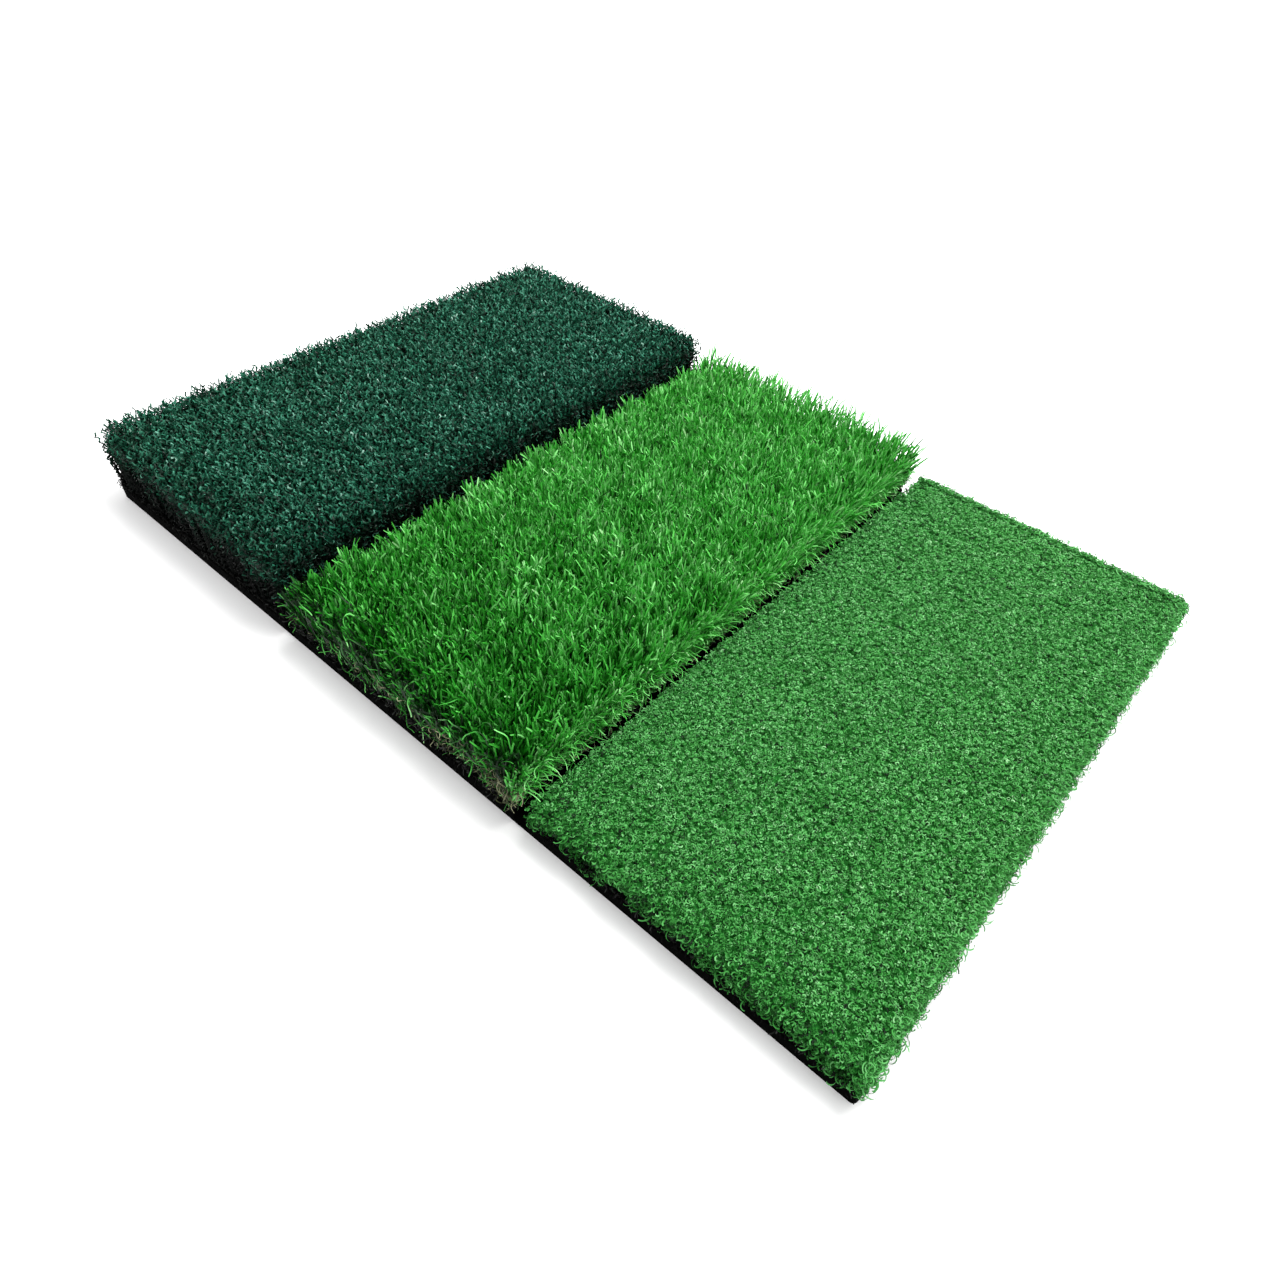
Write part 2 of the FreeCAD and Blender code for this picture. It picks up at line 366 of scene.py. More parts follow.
def ramp(tree, factor, stops, interpolation="LINEAR"):
    """Add a colour ramp through these stops, each a place from 0 to 1 and a colour."""
    node = tree.nodes.new("ShaderNodeValToRGB")
    node.color_ramp.interpolation = interpolation
    elements = node.color_ramp.elements
    while len(elements) < len(stops):
        elements.new(0.5)
    for element, (place, value) in zip(elements, stops):
        element.position = place
        element.color = value
    tree.links.new(factor, node.inputs["Fac"])
    return node.outputs["Color"]


def multiplied(tree, first, second):
    """Multiply two colours, each a socket or a value."""
    node = tree.nodes.new("ShaderNodeMix")
    node.data_type = "RGBA"
    node.blend_type = "MULTIPLY"
    # a colour mix has its factor on input 0, its colours on 6 and 7, and its result on output 2
    for number, value in ((0, 1.0), (6, first), (7, second)):
        feed(tree, node.inputs[number], value)
    return node.outputs[2]


def noise(tree, scale, detail=3.0, roughness=0.5, stretch=(1.0, 1.0, 1.0)):
    """Add noise in the object's own frame, of this scale per metre."""
    place = tree.nodes.new("ShaderNodeTexCoord")
    mapping = tree.nodes.new("ShaderNodeMapping")
    mapping.inputs["Scale"].default_value = stretch
    tree.links.new(place.outputs["Object"], mapping.inputs["Vector"])
    node = tree.nodes.new("ShaderNodeTexNoise")
    node.inputs["Scale"].default_value = scale
    node.inputs["Detail"].default_value = detail
    node.inputs["Roughness"].default_value = roughness
    tree.links.new(mapping.outputs["Vector"], node.inputs["Vector"])
    return node.outputs["Fac"]


def bump(tree, height, strength, depth):
    """Add a bump of this depth, and return its normal."""
    node = tree.nodes.new("ShaderNodeBump")
    node.inputs["Strength"].default_value = strength
    node.inputs["Distance"].default_value = depth
    tree.links.new(height, node.inputs["Height"])
    return node.outputs["Normal"]


def yarn_material(name, shades, painted_light_root_to_tip, roughness, ribs, rib_depth, gloss):
    """A yarn: shades across the fibres, painted shade (and on the rough yarn a painted highlight) from root to
    tip, and fine ribs along each one.
    """
    material, tree, shader = new_material(name)
    layer = tree.nodes.new("ShaderNodeUVMap")
    layer.uv_map = UV_LAYER
    split = tree.nodes.new("ShaderNodeSeparateXYZ")
    tree.links.new(layer.outputs["UV"], split.inputs["Vector"])
    columns = math_node(tree, "MULTIPLY", split.outputs["X"], float(SHADES))
    across = math_node(tree, "FRACT", columns)
    shade = math_node(tree, "DIVIDE", math_node(tree, "FLOOR", columns), float(SHADES - 1))
    hue = ramp(tree, shade, shades)
    # painted shade: this ramp darkens each fibre towards its root, where the pile around it shades it
    length = ramp(tree, split.outputs["Y"], painted_light_root_to_tip)
    lit = multiplied(tree, hue, length)
    wave = math_node(tree, "COSINE", math_node(tree, "MULTIPLY", across, 2 * math.pi * ribs))
    # painted shade in the ribs' grooves: the wave that drives the bump also darkens the colour there
    rib_shade_contrast = 0.06
    rib_painted_shade = math_node(tree, "MULTIPLY_ADD", wave, rib_shade_contrast, 1.0 - rib_shade_contrast)
    tree.links.new(multiplied(tree, lit, rib_painted_shade), shader.inputs["Base Color"])
    paler_is_rougher = 0.12
    dullness = math_node(tree, "MULTIPLY_ADD", shade, paler_is_rougher, roughness)
    tree.links.new(dullness, shader.inputs["Roughness"])
    tree.links.new(bump(tree, wave, 0.5, rib_depth), shader.inputs["Normal"])
    shader.inputs["Specular IOR Level"].default_value = gloss
    return material


def grey(level):
    """Return a grey of this linear level."""
    return (level, level, level, 1.0)


def tint(red, green, blue):
    """Return a linear colour."""
    return (red, green, blue, 1.0)


TEE_SHADES = [
    (0.0, colour(2, 34, 22)),
    (0.3, colour(18, 90, 65)),
    (0.65, colour(50, 132, 104)),
    (0.88, colour(104, 166, 144)),
    (1.0, colour(156, 196, 178)),
]


def tee_yarn():
    """Dark blue-green crimped nylon, with the odd paler fibre."""
    # painted shade: near black at the root, full colour only at the tip
    painted_light_root_to_tip = [
        (0.0, grey(0.02)),
        (0.45, tint(0.03, 0.14, 0.10)),
        (0.75, tint(0.45, 0.6, 0.55)),
        (1.0, grey(1.0)),
    ]
    return yarn_material(
        "tee_yarn", TEE_SHADES, painted_light_root_to_tip,
        roughness=0.46, ribs=2, rib_depth=0.05 * MM, gloss=0.3,
    )


def tee_edge_yarn_painted_shade():
    """The same yarn along the sides of the pile, painted with the pile's own shade nearly to the top."""
    # painted shade: nearly black up to 0.6 of the length, and still dim at the tip
    painted_light_root_to_tip = [
        (0.0, grey(0.01)),
        (0.6, tint(0.01, 0.02, 0.016)),
        (0.8, tint(0.10, 0.14, 0.12)),
        (0.93, tint(0.55, 0.55, 0.55)),
        (1.0, grey(0.85)),
    ]
    return yarn_material(
        "tee_edge_yarn_painted_shade", TEE_SHADES, painted_light_root_to_tip,
        roughness=0.6, ribs=2, rib_depth=0.05 * MM, gloss=0.12,
    )


def rough_yarn():
    """Bright green slit film, glossy at the cut tips: painted shade makes it deep green low down, and a painted
    highlight makes the tips paler.
    """
    shades = [
        (0.0, colour(4, 40, 4)),
        (0.25, colour(28, 134, 22)),
        (0.5, colour(82, 188, 72)),
        (0.75, colour(132, 216, 124)),
        (0.92, colour(156, 226, 146)),
        (1.0, colour(170, 222, 156)),
    ]
    # painted shade low down and a painted pale highlight at the tips
    painted_light_root_to_tip = [
        (0.0, grey(0.02)),
        (0.3, tint(0.03, 0.10, 0.03)),
        (0.6, tint(0.32, 0.70, 0.29)),
        (0.85, tint(0.9, 1.0, 0.9)),
        (1.0, grey(1.0)),
    ]
    return yarn_material(
        "rough_yarn", shades, painted_light_root_to_tip,
        roughness=0.42, ribs=3, rib_depth=0.06 * MM, gloss=0.32,
    )


def thatch_yarn():
    """Tan curled yarn, from straw to brown, with some of it green; its darkest shades are painted shade."""
    shades = [
        (0.0, colour(4, 9, 4)),
        (0.35, colour(24, 34, 21)),
        (0.6, colour(100, 108, 72)),
        (1.0, colour(212, 214, 172)),
    ]
    # painted shade, darker towards the root
    painted_light_root_to_tip = [(0.0, grey(0.12)), (0.4, grey(0.5)), (1.0, grey(1.0))]
    return yarn_material(
        "thatch_yarn", shades, painted_light_root_to_tip,
        roughness=0.5, ribs=2, rib_depth=0.04 * MM, gloss=0.25,
    )


def fairway_yarn():
    """Mid green curled nylon, with painted shade where it is deep in the edge."""
    shades = [
        (0.0, colour(2, 24, 4)),
        (0.2, colour(34, 108, 34)),
        (0.45, colour(76, 152, 76)),
        (0.7, colour(108, 176, 108)),
        (0.93, colour(134, 192, 132)),
        (1.0, colour(152, 200, 148)),
    ]
    # painted shade, darker towards the root
    painted_light_root_to_tip = [(0.0, tint(0.35, 0.6, 0.35)), (0.4, tint(0.65, 0.85, 0.65)), (1.0, grey(1.0))]
    return yarn_material(
        "fairway_yarn", shades, painted_light_root_to_tip,
        roughness=0.6, ribs=2, rib_depth=0.05 * MM, gloss=0.15,
    )


def fray_yarn():
    """Black split tape, frayed out of the woven cloth."""
    shades = [(0.0, colour(2, 2, 2)), (0.7, colour(10, 10, 10)), (1.0, colour(60, 62, 60))]
    # its root to tip ramp is painted shade, darker towards the root
    return yarn_material(
        "fray_yarn", shades, [(0.0, grey(0.6)), (1.0, grey(1.0))],
        roughness=0.6, ribs=3, rib_depth=0.05 * MM, gloss=0.04,
    )


def painted_shade_undergrowth(name, dark, light):
    """The deep mass of fibres under the tips: a mottled, rough surface, painted dark for the shade deep in the
    pile.
    """
    material, tree, shader = new_material(name)
    strands = noise(tree, 420.0, detail=4.0, roughness=0.7, stretch=(1.0, 1.0, 0.35))
    tree.links.new(ramp(tree, strands, [(0.35, dark), (0.7, light)]), shader.inputs["Base Color"])
    tree.links.new(bump(tree, strands, 1.0, 1.2 * MM), shader.inputs["Normal"])
    shader.inputs["Roughness"].default_value = 0.9
    shader.inputs["Specular IOR Level"].default_value = 0.1
    return material


def rubber():
    """Black moulded rubber: a fine grain, a few paler scuffs and a dull, uneven gloss."""
    material, tree, shader = new_material("base_rubber")
    grain = noise(tree, 1800.0, detail=2.0)
    cloud = noise(tree, 28.0, detail=5.0, roughness=0.65)
    dust = ramp(tree, cloud, [(0.45, colour(3, 3, 3)), (0.75, colour(9, 9, 9))])
    tree.links.new(dust, shader.inputs["Base Color"])
    dullness = ramp(tree, cloud, [(0.3, grey(0.62)), (0.8, grey(0.86))])
    tree.links.new(dullness, shader.inputs["Roughness"])
    height = math_node(tree, "ADD", grain, cloud)
    tree.links.new(bump(tree, height, 0.6, 0.15 * MM), shader.inputs["Normal"])
    shader.inputs["Specular IOR Level"].default_value = 0.004
    return material


def woven_cloth():
    """Black plain-woven tape cloth."""
    material, tree, shader = new_material("woven_cloth")
    place = tree.nodes.new("ShaderNodeTexCoord")
    split = tree.nodes.new("ShaderNodeSeparateXYZ")
    tree.links.new(place.outputs["Object"], split.inputs["Vector"])
    tapes_per_metre = 450.0
    waves = []
    for axis in ("X", "Y"):
        turn = math_node(tree, "MULTIPLY", split.outputs[axis], 2 * math.pi * tapes_per_metre)
        waves.append(math_node(tree, "SINE", turn))
    weave = math_node(tree, "MULTIPLY", waves[0], waves[1])
    tone = math_node(tree, "MULTIPLY_ADD", weave, 0.5, 0.5)
    tapes = ramp(tree, tone, [(0.0, colour(4, 4, 4)), (1.0, colour(16, 16, 16))])
    tree.links.new(tapes, shader.inputs["Base Color"])
    tree.links.new(bump(tree, tone, 0.8, 0.2 * MM), shader.inputs["Normal"])
    shader.inputs["Roughness"].default_value = 0.6
    shader.inputs["Specular IOR Level"].default_value = 0.05
    return material


def lumpy_coat(name, scale, dark, light, depth, roughness):
    """A coat that was spread wet and has dried uneven."""
    material, tree, shader = new_material(name)
    lumps = noise(tree, scale, detail=4.0)
    tree.links.new(ramp(tree, lumps, [(0.3, dark), (0.75, light)]), shader.inputs["Base Color"])
    tree.links.new(bump(tree, lumps, 0.7, depth), shader.inputs["Normal"])
    shader.inputs["Roughness"].default_value = roughness
    shader.inputs["Specular IOR Level"].default_value = 0.05
    return material


def latex():
    """Black latex coat with a lumpy skin."""
    return lumpy_coat("latex_coat", 320.0, colour(4, 4, 4), colour(14, 14, 14), 0.4 * MM, 0.7)


def glue():
    """Dull brown glue, mostly hidden, with trapped bubbles."""
    return lumpy_coat("glue_film", 700.0, colour(20, 18, 14), colour(44, 40, 30), 0.2 * MM, 0.5)


MATERIALS = {
    "base_rubber": rubber(),
    "glue_film": glue(),
    "latex_coat": latex(),
    "woven_cloth": woven_cloth(),
    "tee_yarn": tee_yarn(),
    "tee_edge_yarn_painted_shade": tee_edge_yarn_painted_shade(),
    "rough_yarn": rough_yarn(),
    "thatch_yarn": thatch_yarn(),
    "fairway_yarn": fairway_yarn(),
    "fray_yarn": fray_yarn(),
}


def dress_cad_nodes():
    """Give each CAD node that stays the material of its slot."""
    slots = {part["node"]: part["material_slot"] for part in frame["record"]["subparts"]}
    for node, piece in frame["nodes"].items():
        piece.data.materials.clear()
        piece.data.materials.append(MATERIALS[slots[node]])


# --------------------------------------
# The three turfs


def make_core(strip, name, inset, drop, lump, material, replaced):
    """Make the dense mass under the tips: a lumpy block, closed, a little inside the pile."""
    rng = np.random.default_rng(5)
    cell = 3.0 * MM
    low = strip.low + inset
    high = strip.high - inset
    columns, rows = np.ceil((high - low) / cell).astype(int) + 1
    x_lines = np.linspace(low[0], high[0], columns)
    y_lines = np.linspace(low[1], high[1], rows)
    x, y = np.meshgrid(x_lines, y_lines, indexing="ij")
    z = strip.top_z - drop + lump * rng.normal(0, 1, x.shape)
    top = np.stack([x, y, z], axis=-1).reshape(-1, 3)
    index = np.arange(columns * rows).reshape(columns, rows)
    cells = [index[:-1, :-1], index[1:, :-1], index[1:, 1:], index[:-1, 1:]]
    faces = np.stack(cells, axis=-1).reshape(-1, 4)
    rim = np.concatenate([index[:-1, 0], index[-1, :-1], index[:0:-1, -1], index[0, :0:-1]])
    foot = top[rim].copy()
    foot[:, 2] = strip.cloth_z
    below = np.arange(len(rim)) + len(top)
    after = np.roll(np.arange(len(rim)), -1)
    walls = np.stack([rim, below, below[after], rim[after]], axis=-1)
    mesh = bpy.data.meshes.new(name)
    floor = [below[::-1].tolist()]
    points = np.concatenate([top, foot]).tolist()
    mesh.from_pydata(points, [], faces.tolist() + walls.tolist() + floor)
    mesh.materials.append(material)
    piece = bpy.data.objects.new(name, mesh)
    bpy.context.scene.collection.objects.link(piece)
    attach(piece, strip.body)
    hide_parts(*replaced)


def edge_of(places, strip, reach, sides):
    """Return how near each place is to these sides, from 0 at reach inside them to about 1 on them."""
    return np.linalg.norm(way_out(places, strip, reach, sides), axis=1)


def beside(rng, strip, number, axis, side, depth):
    """Return places spread along one side of the strip, up to depth inside it. axis is the one that
    the side faces along, and side is -1 at its low end and 1 at its high end."""
    places = rng.uniform(strip.low, strip.high, (number, 2))
    edge = strip.high if side > 0 else strip.low
    places[:, axis] = edge[axis] - side * rng.uniform(0, depth, number)
    return places


def outwards(rng, number, axis, side, least, most, spread):
    """Return level vectors out over one side, from least to most long, and spread along it."""
    ahead = rng.normal(0, spread, (number, 2))
    ahead[:, axis] = side * rng.uniform(least, most, number)
    return ahead


def taper(rng, count, low, high, profile):
    """Return widths from low to high, each fibre's along its profile."""
    return rng.uniform(low, high, count)[:, None] * MM * profile[None, :]


def tee_fibres(rng, name, places, steps, length, material):
    """Tuft crimped fibres that lean out over the low X and high Y edges and end near the pile's top."""
    strip = TEE
    count = len(places)
    out = way_out(places, strip, 18 * MM, sides=(2.0, -0.05, 0.1, 2.0))
    turns = length / (rng.uniform(7, 10, count) * MM)
    crimp = rng.uniform(0.8, 2.0, count)
    along = (np.arange(steps) + 0.5) / steps
    lean = level(out * 0.36 + rng.normal(0, 0.16, (count, 2)))
    sway = winding(rng, count, steps, turns) * crimp[:, None, None]
    directions = UP + sway + lean[:, None, :] * along[None, :, None]
    shoulder = edge_of(places, strip, 14 * MM, (0.0, 1.0, 1.2, 0.0))
    low_ends = np.minimum(edge_of(places, strip, 9 * MM, (0.1, 1.4, 1.5, 0.1)), 1.0)
    rounding = 3.0
    lowest_end = 19.0
    drop = rounding * shoulder**2 + lowest_end * low_ends * rng.uniform(0, 1, count) ** 1.8
    fuller = edge_of(places, strip, 12 * MM, (1.0, 0.0, 0.0, 1.0))
    top_z = strip.top_z + (rng.normal(0.9, 1.3, count) + 1.6 * fuller - drop) * MM
    paths = top_at(grow(places, strip.cloth_z, directions, length), top_z)
    paths[:, :, 2] = np.maximum(paths[:, :, 2], strip.cloth_z)
    # painted shade: fibres within 30 mm of the sides, most of all the high X and low Y ones, get darker shades
    deep = edge_of(places, strip, 30 * MM, (0.3, 1.0, 1.0, 0.2))
    shade = 0.46 + 0.03 * patches(rng, places, 45 * MM) + rng.normal(0, 0.2, count)
    place_turf(
        name,
        paths,
        widths=taper(rng, count, 1.1, 1.6, np.linspace(1.0, 0.8, steps + 1)),
        across=unit(rng.normal(0, 1, (count, 3))),
        cupping=0.25,
        shades=shade - 0.28 * deep,
        material=material,
        strip=strip,
        replaced=["tee_pile"],
    )


def make_tee_turf():
    """Tuft the tee turf: tall, dense, dark and crimped, with long fibres down its sides."""
    rng = np.random.default_rng(11)
    strip = TEE
    core = painted_shade_undergrowth("tee_undergrowth", colour(0, 10, 7), colour(4, 30, 21))
    make_core(
        strip, "tee_turf_core", inset=4 * MM, drop=8 * MM, lump=0.9 * MM,
        material=core, replaced=["tee_pile"],
    )
    spots = tufts(rng, strip, 4.8 * MM, 3.4 * MM, 0.4 * MM)
    inner = keep_inside(fan_out(rng, spots, 4, 2.6 * MM), strip, 2 * MM)
    tee_fibres(rng, "tee_turf", inner, 8, np.full(len(inner), 16 * MM), MATERIALS["tee_yarn"])
    rim = fan_out(rng, tufts(rng, strip, 2.4 * MM, 2.4 * MM, 0.5 * MM), 3, 1.6 * MM)
    rim = keep_inside(rim, strip, 0.5 * MM)
    rim = rim[edge_of(rim, strip, 7 * MM, (1.0, 1.0, 1.0, 1.0)) > 0]
    crimp_slack = 1.35
    length = np.full(len(rim), (strip.top_z - strip.cloth_z) * crimp_slack)
    tee_fibres(rng, "tee_turf_edge", rim, 18, length, MATERIALS["tee_edge_yarn_painted_shade"])


def make_tee_curls():
    """Curl fine loose yarn along the tee turf's wall at the seam and along its low Y wall."""
    rng = np.random.default_rng(13)
    strip = TEE
    # painted shade: the front curls take a darker tone than the seam curls
    for name, number, axis, side, lift, tone in (
        ("seam", 1500, 0, 1, (12, 36), 0.5),
        ("front", 300, 1, -1, (26, 38), 0.3),
    ):
        strands(
            rng,
            strip,
            f"tee_turf_{name}_curls",
            places=beside(rng, strip, number, axis, side, 1.5 * MM),
            root_z=strip.cloth_z + rng.uniform(*lift, number) * MM,
            ahead=outwards(rng, number, axis, side, -0.1, 0.5, 0.8),
            rise=rng.uniform(0.2, 0.9, number),
            sag=rng.uniform(0.6, 2.0, number),
            length=rng.uniform(6, 13, number) * MM,
            curl=rng.uniform(1.0, 2.4, number),
            steps=10,
            width=(0.4, 0.65),
            shade=rng.normal(tone, 0.2, number),
            yarn="tee_yarn",
            slot="tee_yarn",
            nodes=["tee_pile"],
        )


# The parts of its length that a blade's six steps take: short ones at the tip, where it bends.
BLADE_SHARES = np.array([0.30, 0.21, 0.16, 0.13, 0.11, 0.09])
BLADE_HEIGHTS = np.concatenate([[0.0], np.cumsum(BLADE_SHARES)])
BLADE_PROFILE = np.array([0.8, 1.0, 1.0, 1.0, 1.0, 0.95, 0.68])


def blade_directions(rng, places, lean, hook):
    """Return the steps of blades that lean more as they rise and hook over near the tip."""
    middles = BLADE_HEIGHTS[:-1] + BLADE_SHARES / 2
    hook_start = 0.55
    over = np.clip((middles - hook_start) / (1 - hook_start), 0, 1)
    tilt = level(lean)[:, None, :] * (0.3 + 0.9 * middles)[None, :, None]
    bend = headings(rng.uniform(0, 2 * math.pi, len(places))) * hook[:, None]
    return UP + tilt + bend[:, None, :] * over[None, :, None]


def rough_blades(rng, name, places, top_z, lean, hook, shade, narrowest, widest):
    """Tuft blunt blades, each up to its own height."""
    strip = ROUGH
    count = len(places)
    root_z = strip.cloth_z + 0.5 * MM
    directions = blade_directions(rng, places, lean, hook)
    paths = grow_to(places, root_z, top_z, directions, BLADE_SHARES)
    place_turf(
        name,
        paths,
        widths=taper(rng, count, narrowest, widest, BLADE_PROFILE),
        across=headings(rng.uniform(0, 2 * math.pi, count)),
        cupping=0.2,
        shades=shade,
        material=MATERIALS["rough_yarn"],
        strip=strip,
        replaced=["rough_blades"],
        heights=BLADE_HEIGHTS,
    )


def tuft_rough_stand(rng):
    """Tuft the thick stand of upright blades, with painted shade that makes them darker towards the low Y side."""
    strip = ROUGH
    spots = tufts(rng, strip, 9.5 * MM, 5.6 * MM, 0.6 * MM)
    places = keep_inside(fan_out(rng, spots, 26, 4.4 * MM), strip, 1 * MM)
    count = len(places)
    out = way_out(places, strip, 20 * MM, sides=(0.9, 2.4, 0.2, 3.2))
    clumps = np.stack([patches(rng, places, 18 * MM), patches(rng, places, 18 * MM)], axis=1)
    lean = 0.07 * clumps + rng.normal(0, 0.13, (count, 2)) + out * rng.uniform(0.0, 0.3, (count, 1))
    hook = 1.3 * rng.uniform(0, 1, count) ** 2
    shoulder = edge_of(places, strip, 12 * MM, (0.0, 0.3, 0.9, 0.0))
    ragged = edge_of(places, strip, 16 * MM, (1.0, 0.0, 0.0, 0.0))
    ragged = ragged * np.maximum(7 + 8 * patches(rng, places, 14 * MM), 0)
    height = rng.normal(-2.0, 1.7, count) + 0.8 * patches(rng, places, 26 * MM)
    taller = edge_of(places, strip, 16 * MM, (0.0, 0.0, 0.0, 1.0))
    height = height - 7.0 * shoulder**2 - ragged + 4.5 * taller
    top_z = strip.top_z + np.minimum(height, 3.0 + 3.0 * taller) * MM
    # painted shade: the blades get darker shades towards the low Y side, most of all at its very edge
    near = edge_of(places, strip, 45 * MM, (0.0, 0.0, 1.0, 0.0))
    nearer_half_painted_shade = edge_of(places, strip, 240 * MM, (0.0, 0.0, 1.0, 0.0))
    front = np.minimum(edge_of(places, strip, 13 * MM, (0.0, 0.0, 1.6, 0.0)), 1.0)
    shade = 0.51 + 0.045 * patches(rng, places, 40 * MM) + rng.normal(0, 0.19, count)
    shade = shade - 0.08 * near - 0.18 * nearer_half_painted_shade - 0.36 * front
    name = "rough_turf_blades"
    rough_blades(rng, name, places, top_z, lean, hook, shade, narrowest=0.85, widest=1.3)


def tuft_rough_edges(rng):
    """Tuft shorter blades that lean out over both seams and the low Y side."""
    strip = ROUGH
    # how far on average a blade reaches sideways, over its lean and its height
    mean_growth = 0.75
    # painted light in the tones: darker front and tee side groups paint shade on those walls, and paler fairway
    # side and gap groups paint light into the seam
    for name, number, axis, side, heights, reach, tone in (
        ("fairway_side", 7600, 0, 1, (8, 33), 8.5, 0.66),
        ("fairway_gap", 2600, 0, 1, (5, 16), 5.5, 0.8),
        ("tee_side", 1000, 0, -1, (8, 30), 6.0, 0.35),
        ("front", 300, 1, -1, (8, 33), 3.0, 0.05),
    ):
        spot = beside(rng, strip, number, axis, side, 2.5 * MM)
        height = rng.uniform(*heights, number) * MM
        lean = outwards(rng, number, axis, side, 0.1, 1.0, 0.15)
        lean[:, axis] *= reach * MM / (mean_growth * height)
        rough_blades(
            rng,
            f"rough_turf_{name}",
            places=spot,
            top_z=strip.cloth_z + height,
            lean=lean,
            hook=rng.uniform(0, 0.8, number),
            shade=rng.normal(tone, 0.18, number),
            narrowest=0.8,
            widest=1.25,
        )


def make_rough_blades():
    """Tuft the rough's blades: first the stand, and then the ones along its edges."""
    rng = np.random.default_rng(23)
    tuft_rough_stand(rng)
    tuft_rough_edges(rng)


def make_rough_thatch():
    """Curl the rough's thatch round the blades' feet, and let it stray over the edges."""
    rng = np.random.default_rng(31)
    strip = ROUGH
    core = painted_shade_undergrowth("rough_undergrowth", colour(0, 14, 0), colour(8, 46, 8))
    depth = strip.top_z - strip.cloth_z - 9 * MM
    make_core(
        strip, "rough_thatch_core", inset=5 * MM, drop=depth, lump=1.2 * MM,
        material=core, replaced=["rough_thatch"],
    )
    inner = fan_out(rng, tufts(rng, strip, 9.5 * MM, 8 * MM, 0.6 * MM), 2, 3 * MM)
    rim = fan_out(rng, tufts(rng, strip, 3.2 * MM, 3.2 * MM, 0.8 * MM), 2, 2 * MM)
    rim = rim[edge_of(rim, strip, 7 * MM, (0.6, 0.8, 1.0, 1.0)) > 0]
    places = keep_inside(np.concatenate([inner, rim]), strip, 0.5 * MM)
    count = len(places)
    steps = 12
    along = (np.arange(steps) + 0.5) / steps
    out = way_out(places, strip, 12 * MM)
    rise = 1.0 - 1.3 * along[None, :] * rng.uniform(0.4, 1.1, count)[:, None]
    drift = level(out * 0.5 + rng.normal(0, 0.3, (count, 2)))
    coil = winding(rng, count, steps, rng.uniform(1.2, 2.6, count))
    coil = coil * rng.uniform(0.8, 1.8, (count, 1, 1))
    directions = coil + drift[:, None, :] + rise[:, :, None] * UP
    paths = grow(places, strip.cloth_z + 0.5 * MM, directions, rng.uniform(16, 28, count) * MM)
    lowest = strip.cloth_z - 0.5 * MM
    paths[:, :, 2] = np.clip(paths[:, :, 2], lowest, strip.cloth_z + 16 * MM)
    # it is paler towards the fairway end of the low Y side
    front = edge_of(places, strip, 8 * MM, (0.0, 0.3, 1.0, 0.0))
    end = (places[:, 0] - strip.low[0]) / (strip.high[0] - strip.low[0])
    # painted shade: most of the thatch takes the darkest shades, for the shade it lies in under the blades
    shade = rng.normal(0.08, 0.14, count) + 0.25 * front * end**3
    place_turf(
        "rough_turf_thatch",
        paths,
        widths=taper(rng, count, 0.6, 1.0, np.linspace(1.0, 0.85, steps + 1)),
        across=unit(rng.normal(0, 1, (count, 3))),
        cupping=0.3,
        shades=shade,
        material=MATERIALS["thatch_yarn"],
        strip=strip,
        replaced=["rough_thatch"],
    )


def strands(
    rng, strip, name, places, root_z, ahead, rise, sag, length, curl, steps, width, shade, yarn,
    slot, nodes,
):
    """Lay loose strands that set off ahead, climb by rise and then sag, with some curl in them."""
    count = len(places)
    along = (np.arange(steps) + 0.5) / steps
    climb = rise[:, None] - sag[:, None] * along[None, :]
    sway = winding(rng, count, steps, rng.uniform(0.5, 2.2, count)) * curl[:, None, None]
    directions = level(ahead)[:, None, :] + climb[:, :, None] * UP + sway
    paths = grow(places, np.maximum(root_z, strip.cloth_z), directions, length)
    return place_turf(
        name,
        paths,
        widths=taper(rng, count, width[0], width[1], np.linspace(1.0, 0.7, steps + 1)),
        across=unit(rng.normal(0, 1, (count, 3)) * (1, 1, 0.4)),
        cupping=0.25,
        shades=shade,
        material=MATERIALS[yarn],
        strip=strip,
        replaced=nodes,
    )


